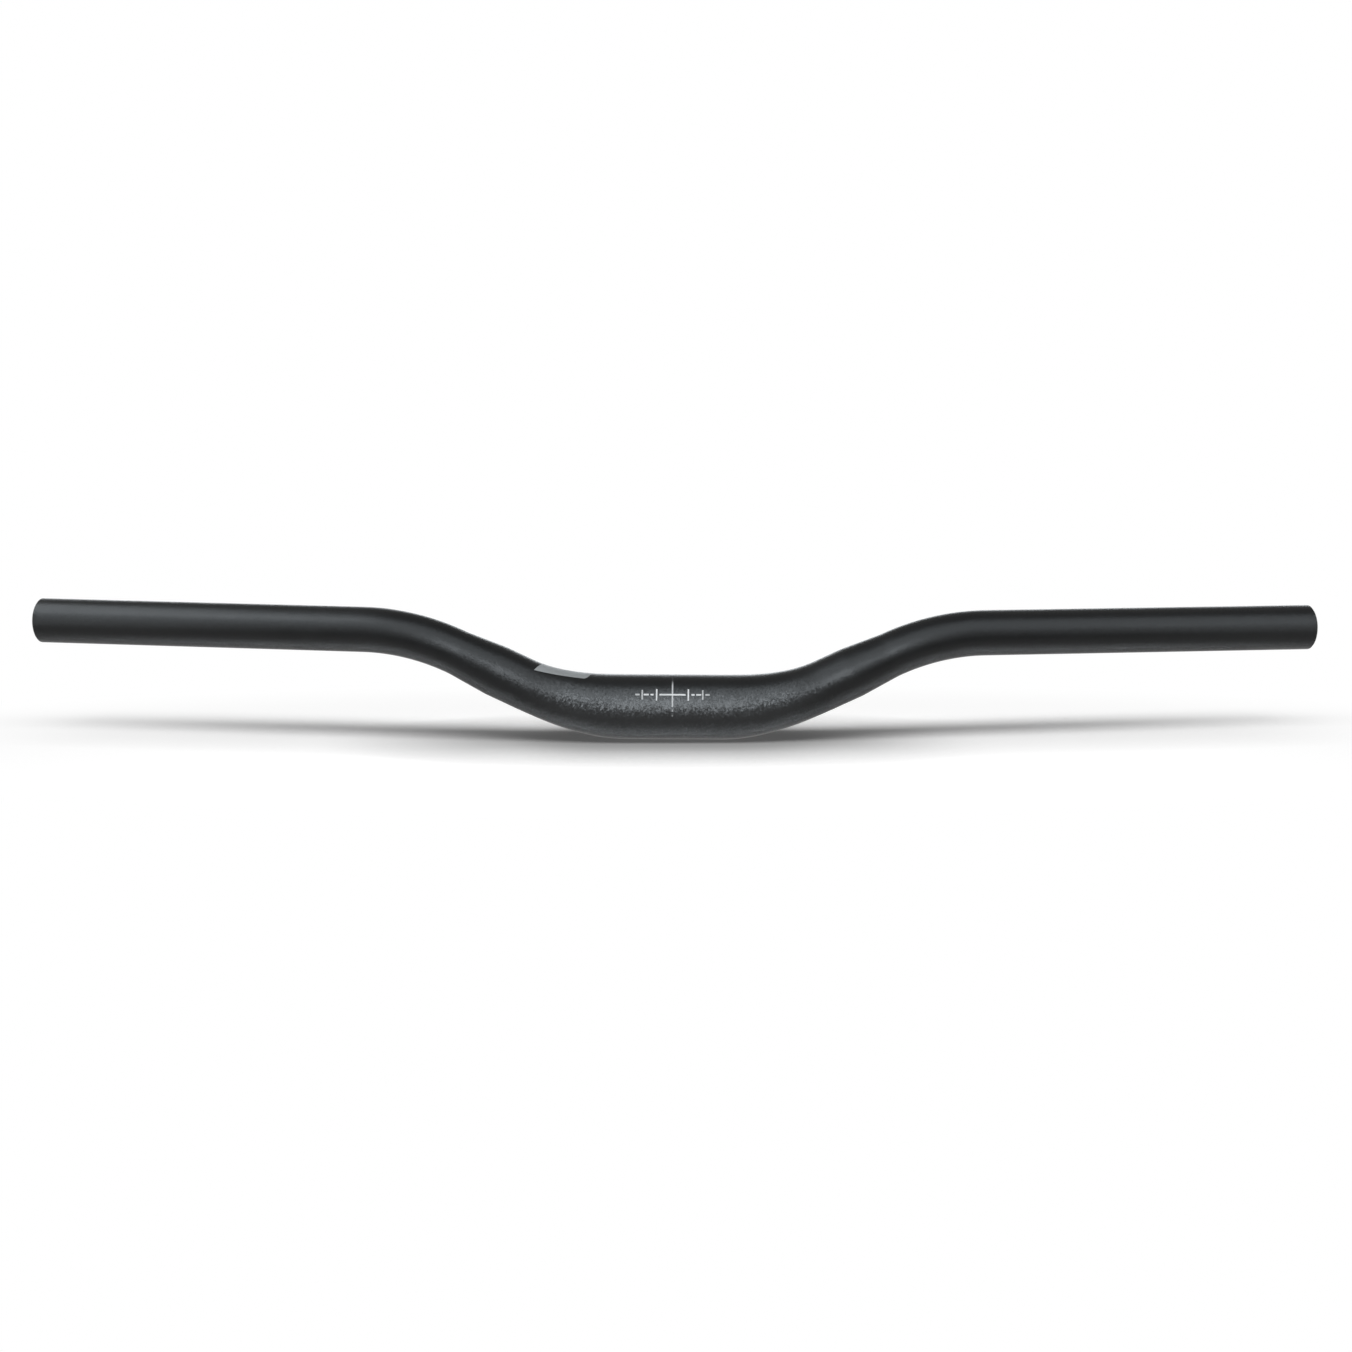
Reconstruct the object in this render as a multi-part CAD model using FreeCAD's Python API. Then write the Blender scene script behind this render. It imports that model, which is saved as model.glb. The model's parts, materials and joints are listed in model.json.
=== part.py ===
"""Mountain bike riser handlebar: one butted aluminium tube, tapered, bent and cut square at its ends.

Frame, in millimetres: the origin is the middle of the clamp zone, on its axis. +X runs along the clamp
axis, +Y is the way the grips sweep back, towards the rider, and +Z is the way the bar rises.
"""
import FreeCAD, Part
import math
import os

from FreeCAD import Vector

# Overall sizes
overall_width = 640.0  # from the outermost edge of one end to that of the other
rise = 37.0  # height of the grip axes over the clamp axis
back_sweep = 9.0  # degrees that each grip points back from the clamp axis
rise_angle = 25.3  # degrees that each rise climbs from the clamp axis

# Clamp zone, where the stem holds the bar
clamp_diameter = 31.8
clamp_zone_length = 46.0
clamp_wall = 2.8

# Neck of each rise, a stretch of one diameter between its two tapers
neck_diameter = 25.2
neck_wall = 2.4
neck_share = 0.37  # of the straight rise's length; the upper taper takes the rest

# Grip stretches, where grips and levers sit
grip_diameter = 22.2
grip_wall = 2.0
mouth_chamfer = 0.6  # on both edges of each open end

# Bend radii of the tube's centreline
lower_bend_radius = 120.0
upper_bend_radius = 102.0

# Tapers of each rise: the share of a taper's length, at each end, over which its cone eases into the next run
lower_taper_easing = 0.3
upper_taper_easing = 0.1
taper_sections = 25  # cross-sections that each tapered surface passes through

clamp_radius = clamp_diameter / 2
neck_radius = neck_diameter / 2
grip_radius = grip_diameter / 2
clamp_bore_radius = clamp_radius - clamp_wall
neck_bore_radius = neck_radius - neck_wall
grip_bore_radius = grip_radius - grip_wall

# Directions of the right half's three straight runs, and the way back, which is square to the first two
back = Vector(0, 1, 0)
clamp_direction = Vector(1, 0, 0)
rise_direction = Vector(math.cos(math.radians(rise_angle)), 0, math.sin(math.radians(rise_angle)))
grip_direction = Vector(math.cos(math.radians(back_sweep)), math.sin(math.radians(back_sweep)), 0)


class Bend:
    """A circular arc of the centreline that joins two straight runs tangentially at their corner."""

    def __init__(self, before, after, radius):
        self.before = before
        self.after = after
        self.radius = radius
        self.axis = before.cross(after).normalize()
        self.turn = before.getAngle(after)
        self.tangent_length = radius * math.tan(self.turn / 2)
        self.arc_length = radius * self.turn

    def place(self, corner):
        """Put the bend at the corner where its two straight runs would meet."""
        self.start = corner - self.before * self.tangent_length
        self.end = corner + self.after * self.tangent_length
        self.centre = self.start + self.axis.cross(self.before) * self.radius

    def turned(self, vector, arc):
        """A vector of the bend's start, carried to a length along the arc."""
        return FreeCAD.Rotation(self.axis, math.degrees(arc / self.radius)).multVec(vector)

    def station(self, arc):
        """Point and direction of the centreline at a length along the arc."""
        return self.centre + self.turned(self.start - self.centre, arc), self.turned(self.before, arc)


# Centreline of the right half: clamp run, lower bend, straight rise, upper bend, grip run
lower_bend = Bend(clamp_direction, rise_direction, lower_bend_radius)
upper_bend = Bend(rise_direction, grip_direction, upper_bend_radius)

clamp_end = clamp_direction * (clamp_zone_length / 2)
lower_corner = clamp_end + clamp_direction * lower_bend.tangent_length
upper_corner = lower_corner + rise_direction * (rise / rise_direction.z)
lower_bend.place(lower_corner)
upper_bend.place(upper_corner)
straight_rise_length = lower_bend.end.distanceToPoint(upper_bend.start)

# The straight rise is the neck and then the upper taper
neck_length = straight_rise_length * neck_share
neck_end = lower_bend.end + rise_direction * neck_length
upper_taper_length = straight_rise_length - neck_length

# The end face is square to the grip, so its front edge is the outermost one
end_axis_x = overall_width / 2 - (grip_radius - mouth_chamfer) * grip_direction.y
grip_length = (end_axis_x - upper_bend.end.x) / grip_direction.x


def section_wire(centre, direction, radius):
    """The tube's round section across a run that is square to the way back, with its seam at the back."""
    circle = Part.Circle(centre, direction, radius)
    circle.XAxis = back
    return Part.Wire(circle.toShape())


def wall_section(centre, direction, outer_radius, bore_radius):
    """Ring-shaped section of the tube's wall."""
    edges = [section_wire(centre, direction, radius) for radius in (outer_radius, bore_radius)]
    return Part.makeFace(edges, "Part::FaceMakerBullseye")


def eased(share, easing):
    """Share of a taper done at a share of its length: straight, with a parabola at each end."""
    if share < easing:
        return share ** 2 / (2 * easing * (1 - easing))
    if share > 1 - easing:
        return 1 - eased(1 - share, easing)
    return (share - easing / 2) / (1 - easing)


def upper_taper_station(along):
    """Point and direction of the centreline at a length along the upper taper."""
    return neck_end + rise_direction * along, rise_direction


def tapered_solid(station, length, first_radius, last_radius, easing):
    """Solid whose round section shrinks from one radius to another along a stretch of the centreline."""
    sections = []
    for index in range(taper_sections):
        share = index / (taper_sections - 1)
        point, direction = station(length * share)
        radius = first_radius + (last_radius - first_radius) * eased(share, easing)
        sections.append(section_wire(point, direction, radius))
    return Part.makeLoft(sections, True)


def clamp_tube():
    """Straight tube under the stem, of one diameter."""
    wall = wall_section(-clamp_end, clamp_direction, clamp_radius, clamp_bore_radius)
    return wall.extrude(clamp_direction * clamp_zone_length)


def lower_bend_tube():
    """Bend beside the clamp, swaged down from the clamp's diameter to the neck's."""
    stretch = (lower_bend.station, lower_bend.arc_length)
    outside = tapered_solid(*stretch, clamp_radius, neck_radius, lower_taper_easing)
    return outside.cut(tapered_solid(*stretch, clamp_bore_radius, neck_bore_radius, lower_taper_easing))


def neck_tube():
    """Straight neck of one diameter, above the lower bend."""
    wall = wall_section(lower_bend.end, rise_direction, neck_radius, neck_bore_radius)
    return wall.extrude(rise_direction * neck_length)


def upper_taper_tube():
    """Head of the straight rise, swaged down from the neck's diameter to the grip's."""
    stretch = (upper_taper_station, upper_taper_length)
    outside = tapered_solid(*stretch, neck_radius, grip_radius, upper_taper_easing)
    return outside.cut(tapered_solid(*stretch, neck_bore_radius, grip_bore_radius, upper_taper_easing))


def upper_bend_tube():
    """Bend that levels the tube and turns it back to the grip's line."""
    wall = wall_section(upper_bend.start, rise_direction, grip_radius, grip_bore_radius)
    return wall.revolve(upper_bend.centre, upper_bend.axis, math.degrees(upper_bend.turn))


def grip_tube():
    """Straight tube for the grip, open at its end, with both edges of the mouth broken."""
    profile = [
        (grip_bore_radius, 0),
        (grip_radius, 0),
        (grip_radius, grip_length - mouth_chamfer),
        (grip_radius - mouth_chamfer, grip_length),
        (grip_bore_radius + mouth_chamfer, grip_length),
        (grip_bore_radius, grip_length - mouth_chamfer),
    ]
    across = upper_bend.turned(back, upper_bend.arc_length)
    points = [upper_bend.end + across * radius + grip_direction * along for radius, along in profile]
    section = Part.Face(Part.makePolygon(points + points[:1]))
    return section.revolve(upper_bend.end, grip_direction, 360)


def handlebar():
    """The whole bar: the right half's runs, their mirror images and the clamp tube as one solid."""
    right = [lower_bend_tube(), neck_tube(), upper_taper_tube(), upper_bend_tube(), grip_tube()]
    left = [run.mirror(Vector(0, 0, 0), clamp_direction) for run in right]
    tube = clamp_tube().fuse(right + left).removeSplitter()
    return tube.Solids[0]


os.makedirs("parts", exist_ok=True)
handlebar().exportStep("parts/handlebar.step")
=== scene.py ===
"""Riser handlebar, dressed for the camera: a blasted, anodised tube, its printed marks and a stage.

Lengths are in metres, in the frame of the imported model: +X along the clamp axis, +Y back, +Z up.
"""
import json
import math

import bpy
import numpy as np
from bpy.props import FloatProperty, FloatVectorProperty, IntProperty, PointerProperty
from mathutils import Matrix, Vector


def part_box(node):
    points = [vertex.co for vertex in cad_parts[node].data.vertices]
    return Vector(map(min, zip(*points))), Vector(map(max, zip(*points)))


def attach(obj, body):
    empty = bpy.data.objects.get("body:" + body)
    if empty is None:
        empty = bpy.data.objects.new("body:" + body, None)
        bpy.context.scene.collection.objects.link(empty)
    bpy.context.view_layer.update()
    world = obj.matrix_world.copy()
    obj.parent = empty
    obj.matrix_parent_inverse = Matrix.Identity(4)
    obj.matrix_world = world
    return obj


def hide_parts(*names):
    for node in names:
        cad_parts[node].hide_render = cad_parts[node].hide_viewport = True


bl_info = {
    "name": "Riser handlebar",
    "version": (1, 0, 0),
    "blender": (4, 5, 0),
    "location": "3D View > Sidebar > Handlebar",
    "description": "Builds a riser handlebar's tube, its printed marks and a white stage for it",
    "category": "Add Mesh",
}

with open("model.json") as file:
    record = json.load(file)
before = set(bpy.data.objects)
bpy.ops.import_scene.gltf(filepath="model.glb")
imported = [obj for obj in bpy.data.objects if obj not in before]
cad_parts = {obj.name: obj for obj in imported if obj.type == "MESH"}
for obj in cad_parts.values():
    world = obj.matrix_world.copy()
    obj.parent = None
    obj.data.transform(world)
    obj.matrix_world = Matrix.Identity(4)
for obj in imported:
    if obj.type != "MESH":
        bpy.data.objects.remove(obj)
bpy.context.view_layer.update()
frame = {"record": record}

MM = 0.001
mounts = {mount["name"]: mount for mount in frame["record"]["mounts"]}
clamp_mount = mounts["stem_clamp"]
grip_mount = mounts["grip_right"]
bore_mount = mounts["bar_end_right"]


def length_property(name, description, default):
    """A size in metres."""
    return FloatProperty(name=name, description=description, default=default, unit="LENGTH", precision=5)


def angle_property(name, description, degrees):
    """An angle, given in degrees and kept in radians."""
    return FloatProperty(name=name, description=description, default=math.radians(degrees), subtype="ANGLE")


def share_property(name, description, default):
    """A share from 0 to 1."""
    return FloatProperty(
        name=name, description=description, default=default, min=0, max=1, subtype="FACTOR", precision=4)


def colour_property(name, description, default):
    """A linear colour."""
    return FloatVectorProperty(name=name, description=description, default=default, size=3, subtype="COLOR")


def power_property(name, description, watts):
    """A lamp's power."""
    return FloatProperty(name=name, description=description, default=watts, min=0, unit="POWER")


class TubeSizes(bpy.types.PropertyGroup):
    """Sizes of the butted tube and its centreline."""

    clamp_radius: length_property(
        "Clamp radius", "Outer radius where the stem holds the bar", clamp_mount["dims"]["r_mm"] * MM)
    clamp_length: length_property(
        "Clamp length", "Length of the straight middle", clamp_mount["dims"]["length_mm"] * MM)
    clamp_wall: length_property("Clamp wall", "Wall of the tube in the middle", 0.0028)
    grip_radius: length_property(
        "Grip radius", "Outer radius of the grips", grip_mount["dims"]["r_mm"] * MM)
    grip_length: length_property(
        "Grip length", "Length of a grip's round wall", grip_mount["dims"]["length_mm"] * MM)
    bore_radius: length_property(
        "Bore radius", "Inner radius of the open ends", bore_mount["dims"]["r_mm"] * MM)
    rise: length_property("Rise", "Height of the grip axes over the clamp axis", grip_mount["pos_m"][2])
    back_sweep: angle_property(
        "Back sweep", "How far the grips point back", math.degrees(math.asin(grip_mount["axis"][1])))
    rise_angle: angle_property("Rise angle", "How steeply the rises climb", 25.3)
    lower_bend: length_property("Lower bend", "Radius of the centreline beside the clamp", 0.120)
    upper_bend: length_property("Upper bend", "Radius of the centreline beside the grips", 0.102)
    neck_radius: length_property("Neck radius", "Outer radius between the two tapers of a rise", 0.0126)
    neck_wall: length_property("Neck wall", "Wall of the tube in the necks", 0.0024)
    neck_share: share_property("Neck share", "Share of the straight rise that is neck", 0.37)
    lower_easing: share_property(
        "Lower easing", "Share of the lower taper that eases in, and out again", 0.3)
    upper_easing: share_property(
        "Upper easing", "Share of the upper taper that eases in, and out again", 0.1)
    chamfer: length_property("Mouth chamfer", "Chamfer on both edges of an open end", 0.0006)
    edge_round: length_property("Edge rounding", "Radius that breaks the chamfer's own edges", 0.00012)
    sides: IntProperty(name="Sides", description="Faces round the tube", default=112, min=24)
    step: length_property("Step", "Length of a face along the tube's bends", 0.0012)


class MarkSizes(bpy.types.PropertyGroup):
    """Sizes and places of the print: the scale on the clamp zone and the flash beside it, on the left."""

    film: length_property("Film", "Thickness of the print", 0.00003)
    level_line: length_property("Level line", "Width of the scale's level line and dashes", 0.00082)
    tick_line: length_property("Tick line", "Width of the scale's ticks and upright line", 0.0007)
    centre: length_property(
        "Scale centre", "Arc length from the middle of the bar to the scale's own", -0.0005)
    height: angle_property("Scale height", "Angle of the scale above the front of the bar", 31.8)
    inner_tick: length_property("Inner tick", "Distance of the taller ticks from the middle", 0.00766)
    outer_tick: length_property("Outer tick", "Distance of the shorter ticks from the middle", 0.01465)
    inner_reach: angle_property("Inner tick reach", "Angle that a taller tick reaches to each side", 10.8)
    outer_reach: angle_property("Outer tick reach", "Angle that a shorter tick reaches to each side", 9.0)
    bar_half: length_property("Middle line", "Half the length of the scale's middle line", 0.0063)
    upright_low: angle_property("Upright foot", "Angle at which the upright line starts", 10.1)
    upright_worn: angle_property("Upright wear", "Angle over which the upright line is worn thin", 50.0)
    upright_high: angle_property("Upright head", "Angle at which the upright line ends", 76.2)
    flash_left: length_property(
        "Flash left", "Arc length from the middle to the flash's left corner", -0.0733)
    flash_right: length_property(
        "Flash right", "Arc length from the middle to the flash's right corner", -0.0464)
    flash_low_left: angle_property("Flash low left", "Angle of the lower edge at its left end", 50.4)
    flash_low_right: angle_property("Flash low right", "Angle of the lower edge at its right end", 62.5)
    flash_high: angle_property("Flash high", "Angle of the upper edge, over the top of the bar", 122.0)
    flash_left_lean: length_property(
        "Flash left lean", "How far its left end leans in for a radian", 0.0042)
    flash_right_lean: length_property(
        "Flash right lean", "How far its right end leans out in all", 0.0059)


class BarColours(bpy.types.PropertyGroup):
    """Colours of the finish, linear."""

    anodised: colour_property("Anodised black", "The dyed oxide of the tube", (0.0026, 0.0028, 0.003))
    blasted: colour_property(
        "Blasted metal", "The metal that shows through in the middle", (0.0266, 0.0268, 0.027))
    scale_print: colour_property("Scale print", "The alignment scale's pale print", (0.6, 0.62, 0.635))
    flash_print: colour_property("Flash print", "The grey flash", (0.275, 0.292, 0.3))
    floor: colour_property("Floor", "The studio's floor", (0.9, 0.9, 0.9))


class FinishSettings(bpy.types.PropertyGroup):
    """The blasted grain, where it is coarse and where the metal is bare, and the gloss of the surfaces."""

    fine_pit: length_property("Fine pit", "Size of the pits all over the tube", 0.0005)
    fine_slope: share_property("Fine slope", "How steeply the fine pits tilt the surface", 0.12)
    coarse_pit: length_property("Coarse pit", "Size of the pits on the front of the middle", 0.0007)
    coarse_slope: share_property("Coarse slope", "How steeply the coarse pits tilt the surface", 0.13)
    coarse_full: length_property(
        "Coarse zone", "Arc length from the middle up to which the coarse pits are full", 0.05)
    coarse_end: length_property("Coarse end", "Arc length at which the coarse pits have faded", 0.115)
    bare_full: length_property(
        "Bare zone", "Arc length from the middle up to which the metal is bare", 0.048)
    bare_end: length_property("Bare end", "Arc length at which the bare metal has faded", 0.082)
    tone_patch: length_property("Tone patch", "Size of the patches of uneven tone", 0.014)
    tube_smooth: share_property("Tube smoothest", "Least roughness of the tube", 0.36)
    tube_rough: share_property("Tube roughest", "Most roughness of the tube's fine grain", 0.4)
    tube_gloss: share_property("Tube gloss", "Specular level of the anodised tube", 0.1875)
    print_smooth: share_property("Print smoothest", "Least roughness of the print", 0.44)
    print_rough: share_property("Print roughest", "Most roughness of the print", 0.52)
    print_gloss: share_property("Print gloss", "Specular level of the print", 0.12)


class StageSettings(bpy.types.PropertyGroup):
    """The camera, the lamps and the surroundings."""

    distance: length_property("Camera distance", "From the camera to the bar's frame", 0.97708)
    azimuth: angle_property("Camera azimuth", "The camera's place round the bar", 0.273)
    elevation: angle_property("Camera elevation", "The camera's height over the horizon", 10.36)
    roll: angle_property("Camera roll", "The camera's turn about its own line of sight", 0.2844)
    aim: FloatVectorProperty(
        name="Aim", description="The point in the middle of the picture",
        default=(0.0011, 0.0, 0.01532), size=3, subtype="XYZ", unit="LENGTH")
    lens: FloatProperty(name="Lens", description="Focal length on a 36 mm frame, in mm", default=52.97)
    plain: power_property(
        "Plain lamp", "Large softbox over the bar, at which a colour looks as written", 23.0)
    gloss_colour: colour_property("Gloss colour", "The cool light of the gloss boxes", (0.9, 0.97, 1.02))
    key: power_property(
        "Key lamp", "Small gloss box in front of the middle of the bar, below the camera", 1.95)
    side: power_property("Side lamp", "Gloss box high on the left", 13.8)
    fill: power_property("Fill lamp", "Wide gloss box in front of the bar", 47.0)
    table: power_property("Table lamp", "Gloss box under the floor, which doesn't hide it", 2.2)
    left_end: power_property("Left end lamp", "Small gloss box beside the left end of the bar", 0.36)
    right_end: power_property("Right end lamp", "Small gloss box beside the right end of the bar", 0.28)
    back: power_property("Back lamp", "Wide gloss box behind the bar, for its far side", 8.0)
    shadow: power_property(
        "Shadow lamp", "Softbox over the bar, for the floor and the bar's shadow on it", 6.9)
    backdrop: FloatProperty(
        name="Backdrop", description="Brightness of the backdrop round the horizon", default=1.0)
    room: FloatProperty(
        name="Room", description="Brightness of the room over the backdrop, behind the bar", default=0.46)


# The centreline and the surfaces carried along it

WIDE_STEPS = 4  # length of a face on the clamp and the grips, in steps of the bends
BORE_STEPS = 3  # length of a face in the bore, in steps of the wall outside
MOUTH_ARC = 5  # points of the arc that breaks each edge of a mouth
SHARP_ANGLE = math.radians(50)  # an edge that turns by more stays sharp


class Centreline:
    """The bar's axis: straight clamp zone, lower bends, straight rises, upper bends and straight grips.

    A place on it is an arc length from the middle, negative to the left. The left half is the right half
    with X turned round.
    """

    def __init__(self, sizes):
        rise_turn = sizes.rise_angle
        self.sizes = sizes
        self.along = np.array([1.0, 0.0, 0.0])
        self.up = np.array([0.0, 0.0, 1.0])
        self.back = np.array([0.0, 1.0, 0.0])
        self.rise_direction = self.along * math.cos(rise_turn) + self.up * math.sin(rise_turn)
        grip_direction = self.along * math.cos(sizes.back_sweep) + self.back * math.sin(sizes.back_sweep)
        bend_axis = np.cross(self.rise_direction, grip_direction)
        self.bend_axis = bend_axis / np.linalg.norm(bend_axis)
        self.inward = np.cross(self.bend_axis, self.rise_direction)
        self.grip_direction = grip_direction
        self.upper_turn = math.acos(self.rise_direction @ grip_direction)
        corners = sizes.lower_bend * math.tan(rise_turn / 2)
        corners += sizes.upper_bend * math.tan(self.upper_turn / 2)
        self.bend_start = sizes.clamp_length / 2
        self.rise_start = self.bend_start + sizes.lower_bend * rise_turn
        self.taper_end = self.rise_start + sizes.rise / math.sin(rise_turn) - corners
        self.neck_end = self.rise_start + sizes.neck_share * (self.taper_end - self.rise_start)
        self.grip_start = self.taper_end + sizes.upper_bend * self.upper_turn
        self.wall_end = self.grip_start + sizes.grip_length

    def frames(self, place):
        """Points of the axis, and the back and up directions across it, at an array of places.

        Each run adds its part: a straight run its length along its direction, and a bend of radius R turned
        by t adds R sin t along its first direction and R (1 - cos t) towards its centre.
        """
        sizes = self.sizes
        reach = np.abs(place)[..., None]
        lower = np.clip((reach - self.bend_start) / sizes.lower_bend, 0, sizes.rise_angle)
        upper = np.clip((reach - self.taper_end) / sizes.upper_bend, 0, self.upper_turn)
        points = self.along * np.minimum(reach, self.bend_start)
        points = points + sizes.lower_bend * (np.sin(lower) * self.along + (1 - np.cos(lower)) * self.up)
        points = points + np.clip(reach, self.rise_start, self.taper_end) * self.rise_direction
        points = points - self.rise_start * self.rise_direction
        points = points + sizes.upper_bend * (
            np.sin(upper) * self.rise_direction + (1 - np.cos(upper)) * self.inward)
        points = points + np.maximum(reach - self.grip_start, 0) * self.grip_direction
        forward = np.cos(lower) * self.along + np.sin(lower) * self.up
        forward = np.cos(upper) * forward + np.sin(upper) * self.inward
        on_axis = (self.bend_axis @ self.back) * self.bend_axis
        across = np.cross(self.bend_axis, self.back)
        back = on_axis + np.cos(upper) * (self.back - on_axis) + np.sin(upper) * across
        up = np.cross(forward, back)
        side = np.where(place < 0, -1.0, 1.0)[..., None] * self.along + self.up + self.back
        return points * side, back * side, up * side

    @staticmethod
    def eased(share, easing):
        """Share of a taper done at a share of its length: straight, with a parabola at each end."""
        share = np.clip(share, 0, 1)
        from_end = np.minimum(share, 1 - share)
        curved = from_end ** 2 / (2 * easing * (1 - easing))
        straight = (from_end - easing / 2) / (1 - easing)
        done = np.where(from_end < easing, curved, straight)
        return np.where(share < 0.5, done, 1 - done)

    def tapered(self, place, clamp, neck, grip):
        """A radius at a place: the lower taper leads to the neck's, the upper to the grip's.

        radius = clamp + (neck - clamp) lower share + (grip - neck) upper share
        """
        reach = np.abs(place)
        lower = (reach - self.bend_start) / (self.rise_start - self.bend_start)
        upper = (reach - self.neck_end) / (self.taper_end - self.neck_end)
        lower = self.eased(lower, self.sizes.lower_easing)
        upper = self.eased(upper, self.sizes.upper_easing)
        return clamp + (neck - clamp) * lower + (grip - neck) * upper

    def outer_radius(self, place):
        """Outer radius of the tube at a place."""
        sizes = self.sizes
        return self.tapered(place, sizes.clamp_radius, sizes.neck_radius, sizes.grip_radius)

    def bore_radius(self, place):
        """Inner radius of the tube at a place, as its wall thins from the clamp to the grips."""
        sizes = self.sizes
        clamp_bore = sizes.clamp_radius - sizes.clamp_wall
        neck_bore = sizes.neck_radius - sizes.neck_wall
        return self.tapered(place, clamp_bore, neck_bore, sizes.bore_radius)

    def surface(self, place, angle, radius):
        """Points at a radius from the axis. The angle is 0 at the front of the bar and 90 degrees on top.

        point = axis - radius cos(angle) back + radius sin(angle) up
        """
        points, back, up = self.frames(place)
        outward = np.sin(angle)[..., None] * up - np.cos(angle)[..., None] * back
        return points + radius[..., None] * outward

    def places(self, step):
        """Places from end to end: a step apart along the bends and tapers, wider on the clamp and grips."""
        wide = WIDE_STEPS * step
        runs = [
            (0, self.bend_start, wide), (self.bend_start, self.taper_end, step),
            (self.taper_end, self.grip_start, step), (self.grip_start, self.wall_end, wide),
        ]
        spans = [np.linspace(a, b, math.ceil((b - a) / pitch), endpoint=False) for a, b, pitch in runs]
        right = np.append(np.concatenate(spans), self.wall_end)
        return np.concatenate([-right[:0:-1], right])


def rounded_corners(corners, radius, points):
    """A polyline with its inner corners turned into arcs, each swept from one tangent point to the other.

    The arc lies between the two edges' directions, d0 and d1, at a turn t of its own:
    point = start + radius (sin(share t) d0 + (1 - cos(share t)) towards the centre).
    """
    corners = np.asarray(corners, float)
    edges = np.diff(corners, axis=0)
    edges = edges / np.linalg.norm(edges, axis=1)[:, None]
    before, after = edges[:-1], edges[1:]
    cosine = np.sum(before * after, axis=1)[:, None]
    turn = np.arccos(cosine)
    centrewards = (after - cosine * before) / np.sin(turn)
    start = corners[1:-1] - before * radius * np.tan(turn / 2)
    swept = np.linspace(0, 1, points)[None, :, None] * turn[:, None]
    arcs = start[:, None] + radius * (
        np.sin(swept) * before[:, None] + (1 - np.cos(swept)) * centrewards[:, None])
    return arcs.reshape(-1, 2)


def grid_quads(rows, columns, close_rows=False, close_columns=False):
    """Corner numbers of a grid's quads. Points are numbered row by row, and it faces rows cross columns."""
    row = np.arange(rows if close_rows else rows - 1)[:, None]
    column = np.arange(columns if close_columns else columns - 1)[None, :]
    next_row = (row + 1) % rows
    next_column = (column + 1) % columns
    quads = np.stack([
        row * columns + column, next_row * columns + column,
        next_row * columns + next_column, row * columns + next_column], axis=-1)
    return quads.reshape(-1, 4)


def film_shell(top, bottom):
    """A closed thin shell between two grids of points of the same size: (points, quads).

    The upper grid faces out, the lower one in, and a strip of quads joins their edges.
    """
    rows, columns = top.shape[:2]
    count = rows * columns
    number = np.arange(count).reshape(rows, columns)
    rim = np.concatenate([number[0, :-1], number[:-1, -1], number[-1, :0:-1], number[:0:-1, 0]])
    next_rim = np.roll(rim, -1)
    upper = grid_quads(rows, columns)
    lower = upper[:, ::-1] + count
    strip = np.stack([rim, next_rim, next_rim + count, rim + count], axis=-1)
    points = np.concatenate([top.reshape(-1, 3), bottom.reshape(-1, 3)])
    return points, np.concatenate([upper, lower, strip])


def make_piece(name, points, quads, material, values=None):
    """A smooth mesh object on the bar's body, with a value for each point under each name in values."""
    mesh = bpy.data.meshes.new(name)
    mesh.vertices.add(len(points))
    mesh.vertices.foreach_set("co", points.astype(np.float32).ravel())
    mesh.loops.add(quads.size)
    mesh.loops.foreach_set("vertex_index", quads.astype(np.int32).ravel())
    mesh.polygons.add(len(quads))
    mesh.polygons.foreach_set("loop_start", np.arange(0, quads.size, 4, dtype=np.int32))
    mesh.polygons.foreach_set("use_smooth", np.ones(len(quads), bool))
    mesh.update(calc_edges=True)
    if mesh.validate():
        raise RuntimeError(f"the mesh of {name} has faulty faces")
    mesh.set_sharp_from_angle(angle=SHARP_ANGLE)
    for value_name, value in (values or {}).items():
        attribute = mesh.attributes.new(value_name, "FLOAT", "POINT")
        attribute.data.foreach_set("value", value.astype(np.float32).ravel())
    mesh.materials.append(material)
    piece = bpy.data.objects.new(name, mesh)
    bpy.context.scene.collection.objects.link(piece)
    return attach(piece, "root")


# Finishes

FRONT = (0.57, 0.9)  # cosine of the angle from the front at which the coarse pits start and are full
TONE_SPREAD = (0.25, 0.75)  # the tone noise's usual range
DARKER, LIGHTER = 0.82, 1.18  # the anodised colour where the tone is low and high
COARSE_ROUGHER = 0.03  # roughness that the coarse pits add
BORE_LIGHTER, BORE_ROUGHER = 1.6, 0.15  # the drawn bore's colour factor and added roughness
PRINT_COARSE = 0.3  # share of the coarse pits that shows through the print
SPECKLE = (0.94, 1.0)  # share of the print's ink where the tone is low and high
SPECKLE_TONE = (0.3, 0.7)  # the tones at which that share is reached


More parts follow.
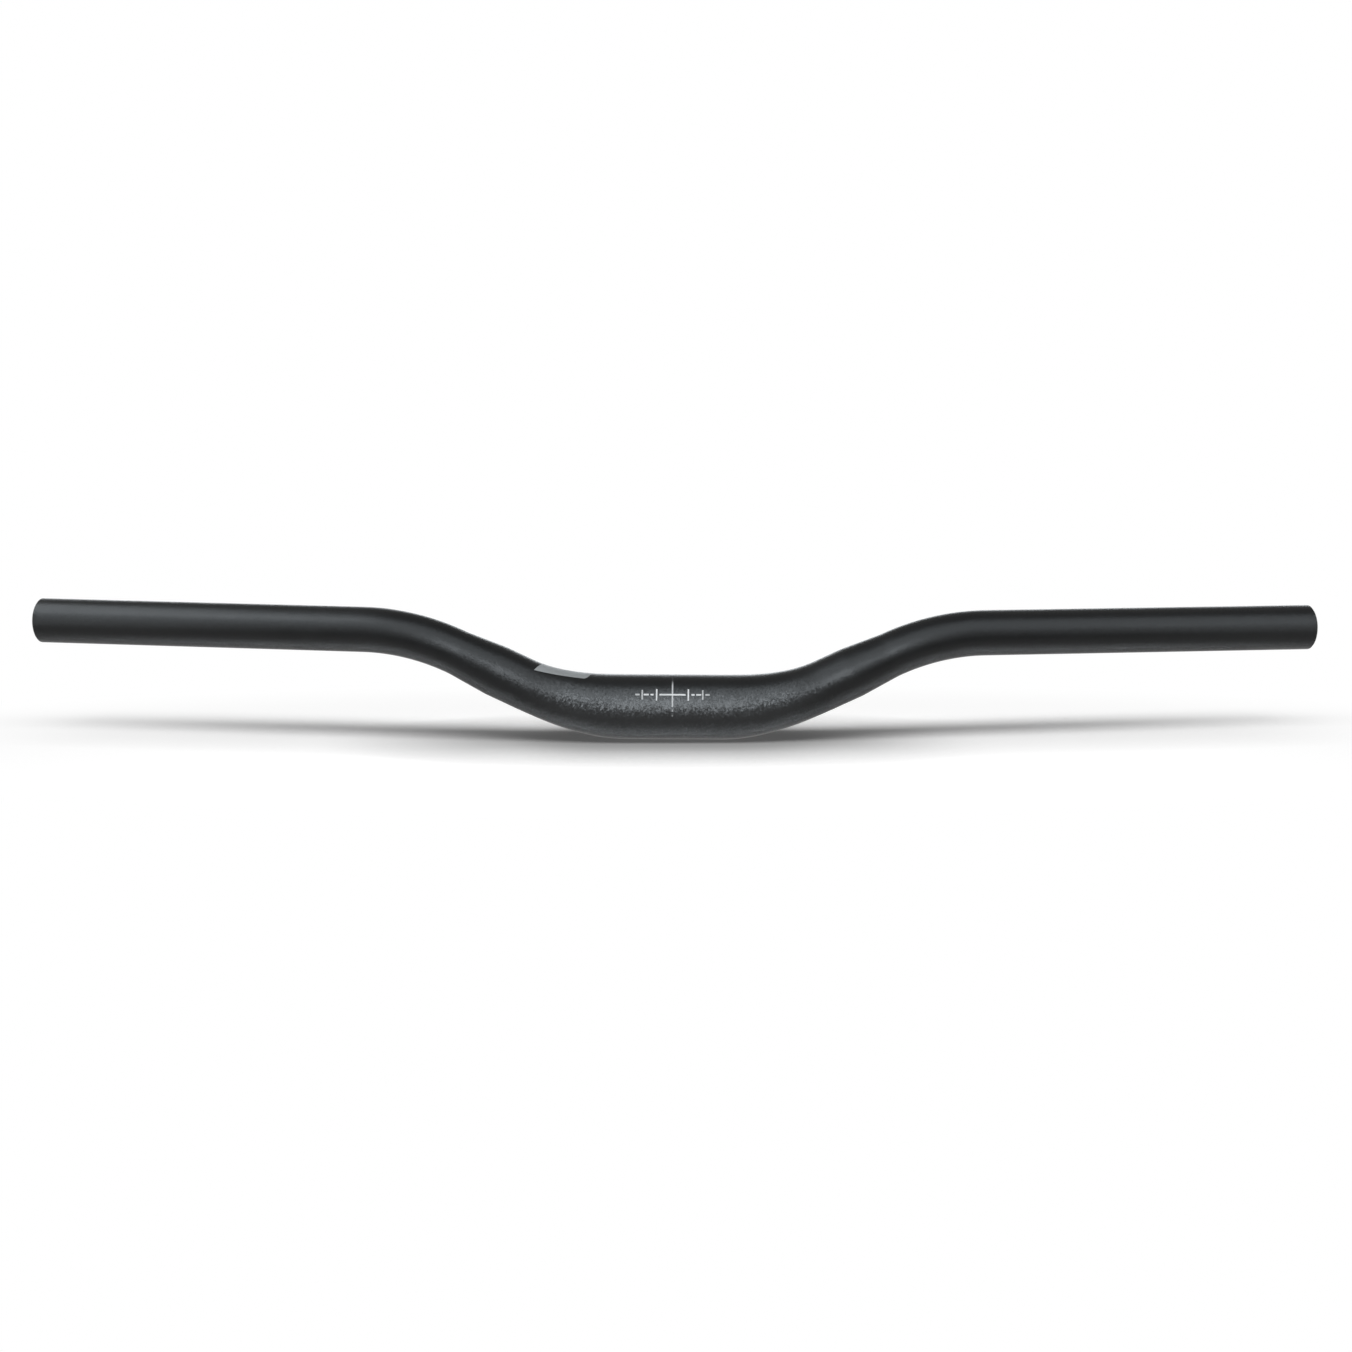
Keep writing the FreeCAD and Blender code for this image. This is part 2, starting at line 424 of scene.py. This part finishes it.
class NodeTree:
    """Short forms for adding and joining the nodes of a material, a world or a group."""

    def __init__(self, tree):
        self.tree = tree

    def add(self, kind, inputs=None, **settings):
        """A node with its settings and inputs, by name or number: a socket is joined, a value is set."""
        node = self.tree.nodes.new(kind)
        for name, value in settings.items():
            setattr(node, name, value)
        for name, value in (inputs or {}).items():
            if isinstance(value, bpy.types.NodeSocket):
                self.tree.links.new(value, node.inputs[name])
            else:
                node.inputs[name].default_value = value
        return node

    def math(self, operation, *values):
        """The result of a Math node."""
        return self.add("ShaderNodeMath", dict(enumerate(values)), operation=operation).outputs[0]

    def noise(self, vector, size, detail, roughness):
        """Noise from 0 to 1 with patches of a size in metres."""
        inputs = {"Vector": vector, "Scale": 1 / size, "Detail": detail, "Roughness": roughness}
        return self.add("ShaderNodeTexNoise", inputs).outputs["Fac"]

    def vector(self, operation, *values):
        """The result of a Vector Math node."""
        return self.add("ShaderNodeVectorMath", dict(enumerate(values)), operation=operation).outputs[0]

    def lumps(self, vector, size):
        """A noise colour with soft lumps of a size in metres."""
        inputs = {"Vector": vector, "Scale": 1 / size, "Detail": 0.0}
        return self.add("ShaderNodeTexNoise", inputs).outputs["Color"]

    def facets(self, vector, size):
        """A colour that is even over each of many small cells of a size in metres."""
        return self.add("ShaderNodeTexVoronoi", {"Vector": vector, "Scale": 1 / size}).outputs["Color"]

    def tilt(self, colour, slope):
        """A vector that leans as a colour differs from middle grey, by up to a slope along each axis."""
        middle, scale = (0.5, 0.5, 0.5), (2 * slope, 2 * slope, 2 * slope)
        return self.vector("MULTIPLY", self.vector("SUBTRACT", colour, middle), scale)

    def ramp(self, value, low, high, to_low=0.0, to_high=1.0):
        """A value moved smoothly from one range to another, and held at its ends."""
        inputs = {"Value": value, "From Min": low, "From Max": high, "To Min": to_low, "To Max": to_high}
        return self.add("ShaderNodeMapRange", inputs, interpolation_type="SMOOTHSTEP").outputs["Result"]

    def attribute(self, name):
        """A value kept on the mesh's points."""
        return self.add("ShaderNodeAttribute", attribute_name=name).outputs["Fac"]

    def blend(self, share, first, second):
        """A mix of two colours."""
        inputs = {0: share, 6: first, 7: second}
        return self.add("ShaderNodeMix", inputs, data_type="RGBA").outputs[2]


def opaque(colour, factor=1.0):
    """A colour property as an opaque socket value, made lighter or darker by a factor."""
    return (colour[0] * factor, colour[1] * factor, colour[2] * factor, 1.0)


def new_material(name):
    """An empty material: its nodes, and the output that a shader is joined to."""
    material = bpy.data.materials.new(name)
    material.use_nodes = True
    material.node_tree.nodes.clear()
    nodes = NodeTree(material.node_tree)
    return material, nodes, nodes.add("ShaderNodeOutputMaterial")


def blasted_grain(finish):
    """Group for a blasted surface: its normal, tilted by the pits, and a faint unevenness of tone.

    normal = the surface's own + fine tilt + coarse tilt x coarse zone, where a tilt is a pattern's colour
    less middle grey, times twice the slope. The fine pattern is lumps and the coarse one is facets.
    """
    name = "Blasted grain"
    if name in bpy.data.node_groups:
        return bpy.data.node_groups[name]
    group = bpy.data.node_groups.new(name, "ShaderNodeTree")
    group.interface.new_socket("Coarse Zone", in_out="INPUT", socket_type="NodeSocketFloat")
    group.interface.new_socket("Normal", in_out="OUTPUT", socket_type="NodeSocketVector")
    group.interface.new_socket("Tone", in_out="OUTPUT", socket_type="NodeSocketFloat")
    nodes = NodeTree(group)
    coarse_zone = nodes.add("NodeGroupInput").outputs["Coarse Zone"]
    place = nodes.add("ShaderNodeTexCoord").outputs["Object"]
    fine = nodes.tilt(nodes.lumps(place, finish.fine_pit), finish.fine_slope)
    coarse = nodes.tilt(nodes.facets(place, finish.coarse_pit), finish.coarse_slope)
    zone = nodes.add("ShaderNodeCombineXYZ", {0: coarse_zone, 1: coarse_zone, 2: coarse_zone}).outputs[0]
    tilted = nodes.vector("MULTIPLY_ADD", coarse, zone, fine)
    normal = nodes.add("ShaderNodeNewGeometry").outputs["Normal"]
    normal = nodes.vector("NORMALIZE", nodes.vector("ADD", normal, tilted))
    tone = nodes.noise(place, finish.tone_patch, detail=3.0, roughness=0.6)
    nodes.add("NodeGroupOutput", {"Normal": normal, "Tone": tone})
    return group


def middle_zone(nodes, full, end):
    """Mask of the middle of the bar: 1 up to a distance along it, and faded out at another."""
    return nodes.ramp(nodes.math("ABSOLUTE", nodes.attribute("along")), full, end, 1.0, 0.0)


def anodised_finish(colours, finish):
    """Black anodised aluminium over a blasted surface, with bare metal in the middle and a duller bore.

    The coarse pits are on the front of the middle alone. All round the middle the dye gives way to metal.
    """
    material, nodes, output = new_material("anodised_tube")
    grain = nodes.add("ShaderNodeGroup", node_tree=blasted_grain(finish))
    front = nodes.ramp(nodes.attribute("front"), *FRONT)
    coarse = nodes.math("MULTIPLY", middle_zone(nodes, finish.coarse_full, finish.coarse_end), front)
    nodes.tree.links.new(coarse, grain.inputs["Coarse Zone"])
    bare = middle_zone(nodes, finish.bare_full, finish.bare_end)
    tone = grain.outputs["Tone"]
    colour = nodes.blend(tone, opaque(colours.anodised, DARKER), opaque(colours.anodised, LIGHTER))
    colour = nodes.blend(bare, colour, opaque(colours.blasted))
    roughness = nodes.ramp(tone, *TONE_SPREAD, finish.tube_smooth, finish.tube_rough)
    roughness = nodes.math("MULTIPLY_ADD", coarse, COARSE_ROUGHER, roughness)
    bore = nodes.attribute("bore")
    shader = nodes.add("ShaderNodeBsdfPrincipled", {
        "Base Color": nodes.blend(bore, colour, opaque(colours.anodised, BORE_LIGHTER)),
        "Metallic": bare,
        "Roughness": nodes.math("MULTIPLY_ADD", bore, BORE_ROUGHER, roughness),
        "Specular IOR Level": finish.tube_gloss,
        "Normal": grain.outputs["Normal"],
    })
    nodes.tree.links.new(shader.outputs[0], output.inputs["Surface"])
    return material


def print_finish(name, colour, worn_colour, finish):
    """Pale print over the grain, thin where the mesh's ink value is low."""
    material, nodes, output = new_material(name)
    grain = nodes.add("ShaderNodeGroup", {"Coarse Zone": PRINT_COARSE}, node_tree=blasted_grain(finish))
    tone = grain.outputs["Tone"]
    speckle = nodes.ramp(tone, *SPECKLE_TONE, *SPECKLE)
    ink = nodes.math("MULTIPLY", nodes.attribute("ink"), speckle)
    shader = nodes.add("ShaderNodeBsdfPrincipled", {
        "Base Color": nodes.blend(ink, opaque(worn_colour), opaque(colour)),
        "Roughness": nodes.ramp(tone, *TONE_SPREAD, finish.print_smooth, finish.print_rough),
        "Specular IOR Level": finish.print_gloss,
        "Normal": grain.outputs["Normal"],
    })
    nodes.tree.links.new(shader.outputs[0], output.inputs["Surface"])
    return material


FLOOR_OVAL = (0.47, 0.167)  # half axes of the oval outside which the floor is plain white
LIT_SHARE = 0.35  # share of the oval that is wholly lit and shaded
GLOSS_WHITE = 0.65  # how far the bar's gloss sees the shaded floor as white
# The floor's shadow under the bar is painted into its colour, from how much of the room the bar hides
# nearby, to a depth set along the bar.
SHADE_REACH = 0.06  # how near the bar is to a point of the floor that it shades
SHADE_SAMPLES = 16  # rays that test how much of the room the bar hides
SHADE_LEFT = 0.28  # light that is left where the bar hides the whole room
UNDER_MIDDLE = (0.03, 0.08, 2.5, 0.0)  # distance from the middle, from and to, and the depth added there
UNDER_RISES = (0.08, 0.17, 4.0, 1.5)  # the same beside the middle, from a point a little to its left
RISES_SHIFT = 0.012  # how far to the left that point is
FLOOR_GLOW = 0.33  # the room's even light on the floor, which no lamp gives


def floor_finish(colours):
    """Matt white floor: lit and shaded near the bar, plain white farther out, and see-through from below.

    The bar's shadow is painted into the floor's colour, which lamplight and a faint glow for the room's own
    light both take up: painted shadow = left + (1 - left) open share ^ depth, where the open share is how
    much of the room the bar leaves open and the depth, set along the bar, falls from the middle to the
    ends.
    """
    material, nodes, output = new_material("stage_floor")
    place = nodes.add("ShaderNodeTexCoord").outputs["Object"]
    scale = (1 / FLOOR_OVAL[0], 1 / FLOOR_OVAL[1], 1.0)
    spread = nodes.add("ShaderNodeMapping", {"Vector": place, "Scale": scale}).outputs[0]
    distance = nodes.add("ShaderNodeVectorMath", {0: spread}, operation="LENGTH").outputs["Value"]
    path = nodes.add("ShaderNodeLightPath").outputs
    seen = nodes.math("MAXIMUM", path["Is Camera Ray"], path["Is Glossy Ray"])
    seen = nodes.math("MAXIMUM", seen, path["Is Transmission Ray"])
    plain = nodes.math("MULTIPLY", nodes.ramp(distance, LIT_SHARE, 1.0), seen)
    plain = nodes.math("MAXIMUM", plain, nodes.math("MULTIPLY", path["Is Glossy Ray"], GLOSS_WHITE))
    open_share = nodes.add(
        "ShaderNodeAmbientOcclusion", {"Distance": SHADE_REACH}, samples=SHADE_SAMPLES).outputs["AO"]
    along = nodes.add("ShaderNodeSeparateXYZ", {0: place}).outputs["X"]
    under_middle = nodes.ramp(nodes.math("ABSOLUTE", along), *UNDER_MIDDLE)
    shifted = nodes.math("ABSOLUTE", nodes.math("ADD", along, RISES_SHIFT))
    depth = nodes.math("ADD", under_middle, nodes.ramp(shifted, *UNDER_RISES))
    # Painted shadow: the floor's colour darkens where the bar hides the room, the more so where the depth
    # is set higher.
    painted_shadow = nodes.math("MULTIPLY_ADD", nodes.math("POWER", open_share, depth), 1 - SHADE_LEFT, SHADE_LEFT)
    colour = nodes.blend(painted_shadow, (0.0, 0.0, 0.0, 1.0), opaque(colours.floor))
    lamp_lit = nodes.add("ShaderNodeBsdfDiffuse", {"Color": colour})
    room_lit = nodes.add("ShaderNodeEmission", {"Color": colour, "Strength": FLOOR_GLOW})
    lit = nodes.add("ShaderNodeAddShader", {0: lamp_lit.outputs[0], 1: room_lit.outputs[0]})
    white = nodes.add("ShaderNodeEmission", {"Color": (1, 1, 1, 1), "Strength": 1.0})
    mixed = nodes.add("ShaderNodeMixShader", {0: plain, 1: lit.outputs[0], 2: white.outputs[0]})
    below = nodes.add("ShaderNodeNewGeometry").outputs["Backfacing"]
    clear = nodes.add("ShaderNodeBsdfTransparent")
    mixed = nodes.add("ShaderNodeMixShader", {0: below, 1: mixed.outputs[0], 2: clear.outputs[0]})
    nodes.tree.links.new(mixed.outputs[0], output.inputs["Surface"])
    return material


# Pieces


class HANDLEBAR_OT_tube(bpy.types.Operator):
    """Build the butted tube: outer wall, rounded mouths and bore as one closed surface"""

    bl_idname = "handlebar.tube"
    bl_label = "Tube"

    def execute(self, context):
        sizes = context.scene.bar_tube
        line = Centreline(sizes)
        wall = line.places(sizes.step)[1:-1]
        bore = line.places(BORE_STEPS * sizes.step)[::-1][1:-1]
        end = line.wall_end + sizes.chamfer
        mouth = rounded_corners([
            (line.wall_end - sizes.chamfer, sizes.grip_radius),
            (line.wall_end, sizes.grip_radius),
            (end, sizes.grip_radius - sizes.chamfer),
            (end, sizes.bore_radius + sizes.chamfer),
            (line.wall_end, sizes.bore_radius),
            (line.wall_end - sizes.chamfer, sizes.bore_radius),
        ], sizes.edge_round, MOUTH_ARC)
        place = np.concatenate([wall, mouth[:, 0], bore, -mouth[::-1, 0]])
        radius = np.concatenate([
            line.outer_radius(wall), mouth[:, 1], line.bore_radius(bore), mouth[::-1, 1]])
        inside = np.concatenate([
            np.zeros(len(wall) + len(mouth)), np.ones(len(bore)), np.zeros(len(mouth))])
        angle = np.linspace(0, 2 * math.pi, sizes.sides, endpoint=False) - math.pi / 2
        shape = np.ones((len(place), sizes.sides))
        place, radius, inside = (value[:, None] * shape for value in (place, radius, inside))
        points = line.surface(place, angle * shape, radius)
        quads = grid_quads(*shape.shape, close_rows=True, close_columns=True)
        finish = anodised_finish(context.scene.bar_colours, context.scene.bar_finish)
        tube = make_piece("tube", points.reshape(-1, 3), quads, finish,
                          {"along": place, "front": np.cos(angle * shape), "bore": inside})
        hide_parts("handlebar")
        return {"FINISHED"}


def film_patch(line, film, low_place, high_place, low_angle, high_angle):
    """Shell of print on the tube between two places and two angles, each an array along the patch.

    The grid runs along the tube in its rows and up the tube in its columns:
    place = low + (high - low) row share, angle = low + (high - low) column share.
    """
    rows, columns = len(low_angle), len(low_place)
    row_share = np.linspace(0, 1, rows)[:, None]
    column_share = np.linspace(0, 1, columns)[None, :]
    place = low_place + (high_place - low_place) * row_share
    angle = low_angle[:, None] + (high_angle - low_angle)[:, None] * column_share
    radius = line.outer_radius(place)
    return film_shell(line.surface(place, angle, radius + film), line.surface(place, angle, radius))


# Each dash beside the scale's middle line: from and to, in metres from its middle, and its share of ink
DASHES = ((0.00915, 0.0107, 0.95), (0.01145, 0.0139, 0.9), (0.0159, 0.0180, 0.65))
# Each dot under the upright line: its angle over the front, and its share of ink
DOTS = ((math.radians(3.7), 0.55), (math.radians(-5.4), 0.26))
DOT_HALF = 0.0005  # half the height of a dot
# Share of ink of the middle line, the taller and the shorter ticks and the upright line
LEVEL_INK, INNER_INK, OUTER_INK, UPRIGHT_INK = 0.97, 1.0, 0.68, 0.74
WEAR_SPAN = math.radians(14)  # angle over which the upright line wears thin
WORN_INK = 0.09  # share of ink that is left there
FILM_ANGLE = math.radians(2)  # most that a face of the scale spans round the tube
FILM_POINTS = 3  # least points of a patch of the scale, along the tube and round it


class HANDLEBAR_OT_alignment_scale(bpy.types.Operator):
    """Print the alignment scale: an upright line, a level line that ends in dashes, and pairs of ticks"""

    bl_idname = "handlebar.alignment_scale"
    bl_label = "Alignment scale"

    def execute(self, context):
        scene = context.scene
        marks = scene.bar_marks
        line = Centreline(scene.bar_tube)
        clamp_radius = scene.bar_tube.clamp_radius
        level_half = marks.level_line / 2 / clamp_radius
        level = (marks.height - level_half, marks.height + level_half)
        half = marks.tick_line / 2
        dot_half = DOT_HALF / clamp_radius
        ticks = (
            (marks.inner_tick, marks.inner_reach, INNER_INK),
            (marks.outer_tick, marks.outer_reach, OUTER_INK),
        )
        patches = [(-marks.bar_half, marks.bar_half, *level, LEVEL_INK)]
        for side in (-1, 1):
            for near, far, ink in DASHES:
                patches.append((*sorted((side * near, side * far)), *level, ink))
            for middle, reach, ink in ticks:
                low, high = marks.height - reach, marks.height + reach
                patches.append((side * middle - half, side * middle + half, low, high, ink))
        patches.append((-half, half, marks.upright_low, marks.upright_high, UPRIGHT_INK))
        for dot, ink in DOTS:
            patches.append((-half, half, dot - dot_half, dot + dot_half, ink))

        points, quads, inks = [], [], []
        count = 0
        for left, right, low, high, ink in patches:
            columns = FILM_POINTS + math.ceil((high - low) / FILM_ANGLE)
            ends = np.ones(columns)
            sides = np.ones(FILM_POINTS)
            shell, faces = film_patch(
                line, marks.film, (marks.centre + left) * ends, (marks.centre + right) * ends,
                low * sides, high * sides)
            angle = np.tile(np.linspace(low, high, columns), 2 * FILM_POINTS)
            points.append(shell)
            quads.append(faces + count)
            inks.append(ink * self.wear(angle, marks.upright_worn))
            count += len(shell)
        colours = scene.bar_colours
        finish = print_finish("scale_print", colours.scale_print, colours.anodised, scene.bar_finish)
        make_piece("alignment_scale", np.concatenate(points), np.concatenate(quads), finish,
                   {"ink": np.concatenate(inks)})
        return {"FINISHED"}

    @staticmethod
    def wear(angle, worn):
        """Share of ink that is left: all of it up to the worn angle, and little past the wear's span."""
        return np.clip(1 - (angle - worn) / WEAR_SPAN, WORN_INK, 1)


FLASH_ROWS, FLASH_COLUMNS = 33, 41  # points of the flash along the tube and round it


class HANDLEBAR_OT_flash(bpy.types.Operator):
    """Print the plain grey flash, a slanted field that runs over the top of the left rise's foot"""

    bl_idname = "handlebar.flash"
    bl_label = "Grey flash"

    def execute(self, context):
        scene = context.scene
        marks = scene.bar_marks
        line = Centreline(scene.bar_tube)
        share = np.linspace(0, 1, FLASH_ROWS)
        up_share = np.linspace(0, 1, FLASH_COLUMNS)
        climb = (marks.flash_low_right - marks.flash_low_left) * (1 - (1 - share) ** 2)
        low_angle = marks.flash_low_left + climb
        high_angle = np.full_like(share, marks.flash_high)
        lean_left = marks.flash_left_lean * up_share * (marks.flash_high - marks.flash_low_left)
        lean_right = marks.flash_right_lean * np.sqrt(up_share)
        left = marks.flash_left + lean_left
        right = marks.flash_right + lean_right
        points, quads = film_patch(line, marks.film, left, right, low_angle, high_angle)
        colours = scene.bar_colours
        finish = print_finish("flash_print", colours.flash_print, colours.anodised, scene.bar_finish)
        make_piece("grey_flash", points, quads, finish, {"ink": np.ones(len(points))})
        return {"FINISHED"}


FLOOR_REACH = 6.0  # from the bar to each edge of the floor
FLOOR_GAP = 0.00025  # a hair between the bar's lowest point and the floor
FLOOR_SLOPE = 0.008  # how much the floor climbs to the right
# The black cards are a painted dark reflection: only the bar's gloss sees them.
FLAGS = {"left_flag": (-0.30, -0.06), "right_flag": (0.03, 0.40)}  # the black cards' left and right ends
FLAG_DEPTH = (-1.2, -0.1)  # the cards' edges towards the camera and towards the bar
FLAG_HEIGHT = 0.004  # the cards' height over the bar's lowest point
DARK_ROOM = 0.04  # brightness of the room over the backdrop, in front of the bar
ROOM_EDGE = (-0.15, 0.15)  # how far back a direction points where the room turns from dark to grey
BACKDROP_EDGE = (0.2, 0.3)  # how far up a direction points where the backdrop ends
LAMP_AIM = Vector((0.0, 0.0, 0.02))  # the point that every lamp faces


class HANDLEBAR_OT_stage(bpy.types.Operator):
    """Set the white floor, the black cards, the surroundings, the lamps and the camera"""

    bl_idname = "handlebar.stage"
    bl_label = "Stage"

    def execute(self, context):
        scene = context.scene
        settings = scene.bar_stage
        scene.view_settings.view_transform = "Standard"
        floor = self.lay_floor(scene)
        self.lay_flags(scene)
        self.light_surroundings(scene, settings)
        floor_only = self.light_list("lit_by_shadow_lamp", floor, "INCLUDE")
        not_floor = self.light_list("not_lit_by_bar_lamps", floor, "EXCLUDE")
        # Name, power, place and size of each lamp that gives gloss alone
        gloss_lamps = [
            ("key_lamp", settings.key, (-0.007, -0.43, 0.135), (0.14, 0.19)),
            ("side_lamp", settings.side, (-0.805, -0.19, 0.875), (1.0, 0.6)),
            ("fill_lamp", settings.fill, (0.121, -0.7904, 0.9029), (3.2, 1.207)),
            ("table_lamp", settings.table, (0.0, 0.0, -0.45), (1.031, 0.354)),
            ("left_end_lamp", settings.left_end, (-0.45, -0.22, 0.06), (0.2, 0.25)),
            ("right_end_lamp", settings.right_end, (0.45, -0.22, 0.12), (0.2, 0.25)),
            ("back_lamp", settings.back, (0.0, 1.1, 0.26), (2.6, 0.34)),
        ]
        for name, power, place, size in gloss_lamps:
            lamp = self.hang_lamp(scene, name, power, Vector(place), size, not_floor)
            lamp.data.color = settings.gloss_colour
            lamp.visible_diffuse = False
        lamp = self.hang_lamp(
            scene, "plain_lamp", settings.plain, Vector((0.0, -0.65, 0.85)), (2.4, 1.6), not_floor)
        lamp.visible_glossy = False
        self.hang_lamp(
            scene, "shadow_lamp", settings.shadow, Vector((0.0, -0.305, 0.675)), (1.128, 0.336), floor_only)
        self.place_camera(scene, settings)
        return {"FINISHED"}

    def lay_sheet(self, scene, name, x_ends, y_ends, height, slope, material):
        """A flat sheet of the stage between its ends, at z = height + slope x, that casts no shadow."""
        x, y = np.meshgrid(x_ends, y_ends, indexing="ij")
        points = np.stack([x, y, height + slope * x], axis=-1).reshape(-1, 3)
        mesh = bpy.data.meshes.new(name)
        mesh.from_pydata(points.tolist(), [], grid_quads(2, 2).tolist())
        mesh.materials.append(material)
        sheet = bpy.data.objects.new(name, mesh)
        scene.collection.objects.link(sheet)
        sheet.visible_shadow = False
        return sheet

    def lay_floor(self, scene):
        """The floor, a hair under the bar's lowest point, which climbs slightly to the right."""
        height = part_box("handlebar")[0][2] - FLOOR_GAP
        ends = (-FLOOR_REACH, FLOOR_REACH)
        return self.lay_sheet(
            scene, "floor", ends, ends, height, FLOOR_SLOPE, floor_finish(scene.bar_colours))

    def lay_flags(self, scene):
        """Black cards in front of the rises that only the bar's gloss sees: a painted dark reflection, for
        a darker lower half.
        """
        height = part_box("handlebar")[0][2] + FLAG_HEIGHT
        material, nodes, output = new_material("stage_flag")
        black = nodes.add("ShaderNodeBsdfDiffuse", {"Color": (0.0, 0.0, 0.0, 1.0)})
        nodes.tree.links.new(black.outputs[0], output.inputs["Surface"])
        for name, ends in FLAGS.items():
            flag = self.lay_sheet(scene, name, ends, FLAG_DEPTH, height, 0.0, material)
            flag.visible_camera = False
            flag.visible_diffuse = False

    def light_surroundings(self, scene, settings):
        """White backdrop round the horizon, a grey room over it behind the bar and a dark one in front.

        Only gloss and the camera see them: the lamps alone light the colours.
        """
        world = bpy.data.worlds.new("studio")
        world.use_nodes = True
        world.node_tree.nodes.clear()
        nodes = NodeTree(world.node_tree)
        direction = nodes.add("ShaderNodeTexCoord").outputs["Generated"]
        axes = nodes.add("ShaderNodeSeparateXYZ", {0: direction}).outputs
        room = nodes.ramp(axes["Y"], *ROOM_EDGE, DARK_ROOM, settings.room)
        backdrop = nodes.ramp(axes["Z"], *BACKDROP_EDGE, 1.0, 0.0)
        strength = nodes.add("ShaderNodeMix", {0: backdrop, 2: room, 3: settings.backdrop}).outputs[0]
        background = nodes.add("ShaderNodeBackground", {"Color": (1, 1, 1, 1), "Strength": strength})
        nodes.add("ShaderNodeOutputWorld", {"Surface": background.outputs[0]})
        scene.world = world
        world.cycles_visibility.diffuse = False

    def light_list(self, name, floor, state):
        """A list for lamps that light the floor alone, or everything else."""
        receivers = bpy.data.collections.new(name)
        receivers.objects.link(floor)
        receivers.collection_objects[0].light_linking.link_state = state
        return receivers

    def hang_lamp(self, scene, name, power, place, size, receivers):
        """A rectangular softbox that faces the bar, lights what its list says and isn't seen itself."""
        lamp = bpy.data.lights.new(name, "AREA")
        lamp.shape = "RECTANGLE"
        lamp.size, lamp.size_y = size
        lamp.energy = power
        lamp.cycles.use_multiple_importance_sampling = place.z > 0
        turn = (LAMP_AIM - place).to_track_quat("-Z", "Y").to_matrix().to_4x4()
        holder = bpy.data.objects.new(name, lamp)
        holder.matrix_world = Matrix.Translation(place) @ turn
        holder.visible_camera = False
        holder.light_linking.receiver_collection = receivers
        scene.collection.objects.link(holder)
        return holder

    def place_camera(self, scene, settings):
        """The camera on its place round the bar, turned to its aim and rolled about its line of sight."""
        level = math.cos(settings.elevation)
        place = settings.distance * Vector((
            level * math.sin(settings.azimuth), -level * math.cos(settings.azimuth),
            math.sin(settings.elevation)))
        turn = (Vector(settings.aim) - place).to_track_quat("-Z", "Y").to_matrix().to_4x4()
        camera = bpy.data.cameras.new("camera")
        camera.lens = settings.lens
        camera.clip_start = 0.01
        holder = bpy.data.objects.new("camera", camera)
        holder.matrix_world = Matrix.Translation(place) @ turn @ Matrix.Rotation(settings.roll, 4, "Z")
        scene.collection.objects.link(holder)
        scene.camera = holder


class HANDLEBAR_PT_panel(bpy.types.Panel):
    """Sizes, colours and steps of the handlebar"""

    bl_idname = "HANDLEBAR_PT_panel"
    bl_label = "Riser handlebar"
    bl_space_type = "VIEW_3D"
    bl_region_type = "UI"
    bl_category = "Handlebar"

    def draw(self, context):
        for group in GROUPS:
            box = self.layout.box()
            settings = getattr(context.scene, group)
            for name in settings.bl_rna.properties.keys():
                if name not in ("rna_type", "name"):
                    box.prop(settings, name)
        for step in STEPS:
            self.layout.operator(step.bl_idname)


GROUPS = {
    "bar_tube": TubeSizes, "bar_marks": MarkSizes, "bar_colours": BarColours, "bar_finish": FinishSettings,
    "bar_stage": StageSettings,
}
STEPS = (HANDLEBAR_OT_tube, HANDLEBAR_OT_alignment_scale, HANDLEBAR_OT_flash, HANDLEBAR_OT_stage)


def register():
    """Add the settings, the steps and the panel."""
    for group, settings in GROUPS.items():
        bpy.utils.register_class(settings)
        setattr(bpy.types.Scene, group, PointerProperty(type=settings))
    for step in STEPS:
        bpy.utils.register_class(step)
    bpy.utils.register_class(HANDLEBAR_PT_panel)


def unregister():
    """Take them out again, in the opposite order."""
    bpy.utils.unregister_class(HANDLEBAR_PT_panel)
    for step in reversed(STEPS):
        bpy.utils.unregister_class(step)
    for group, settings in reversed(GROUPS.items()):
        delattr(bpy.types.Scene, group)
        bpy.utils.unregister_class(settings)


def main():
    """Build the bar and its stage."""
    register()
    bpy.ops.handlebar.tube()
    bpy.ops.handlebar.alignment_scale()
    bpy.ops.handlebar.flash()
    bpy.ops.handlebar.stage()


if __name__ == "__main__":
    main()
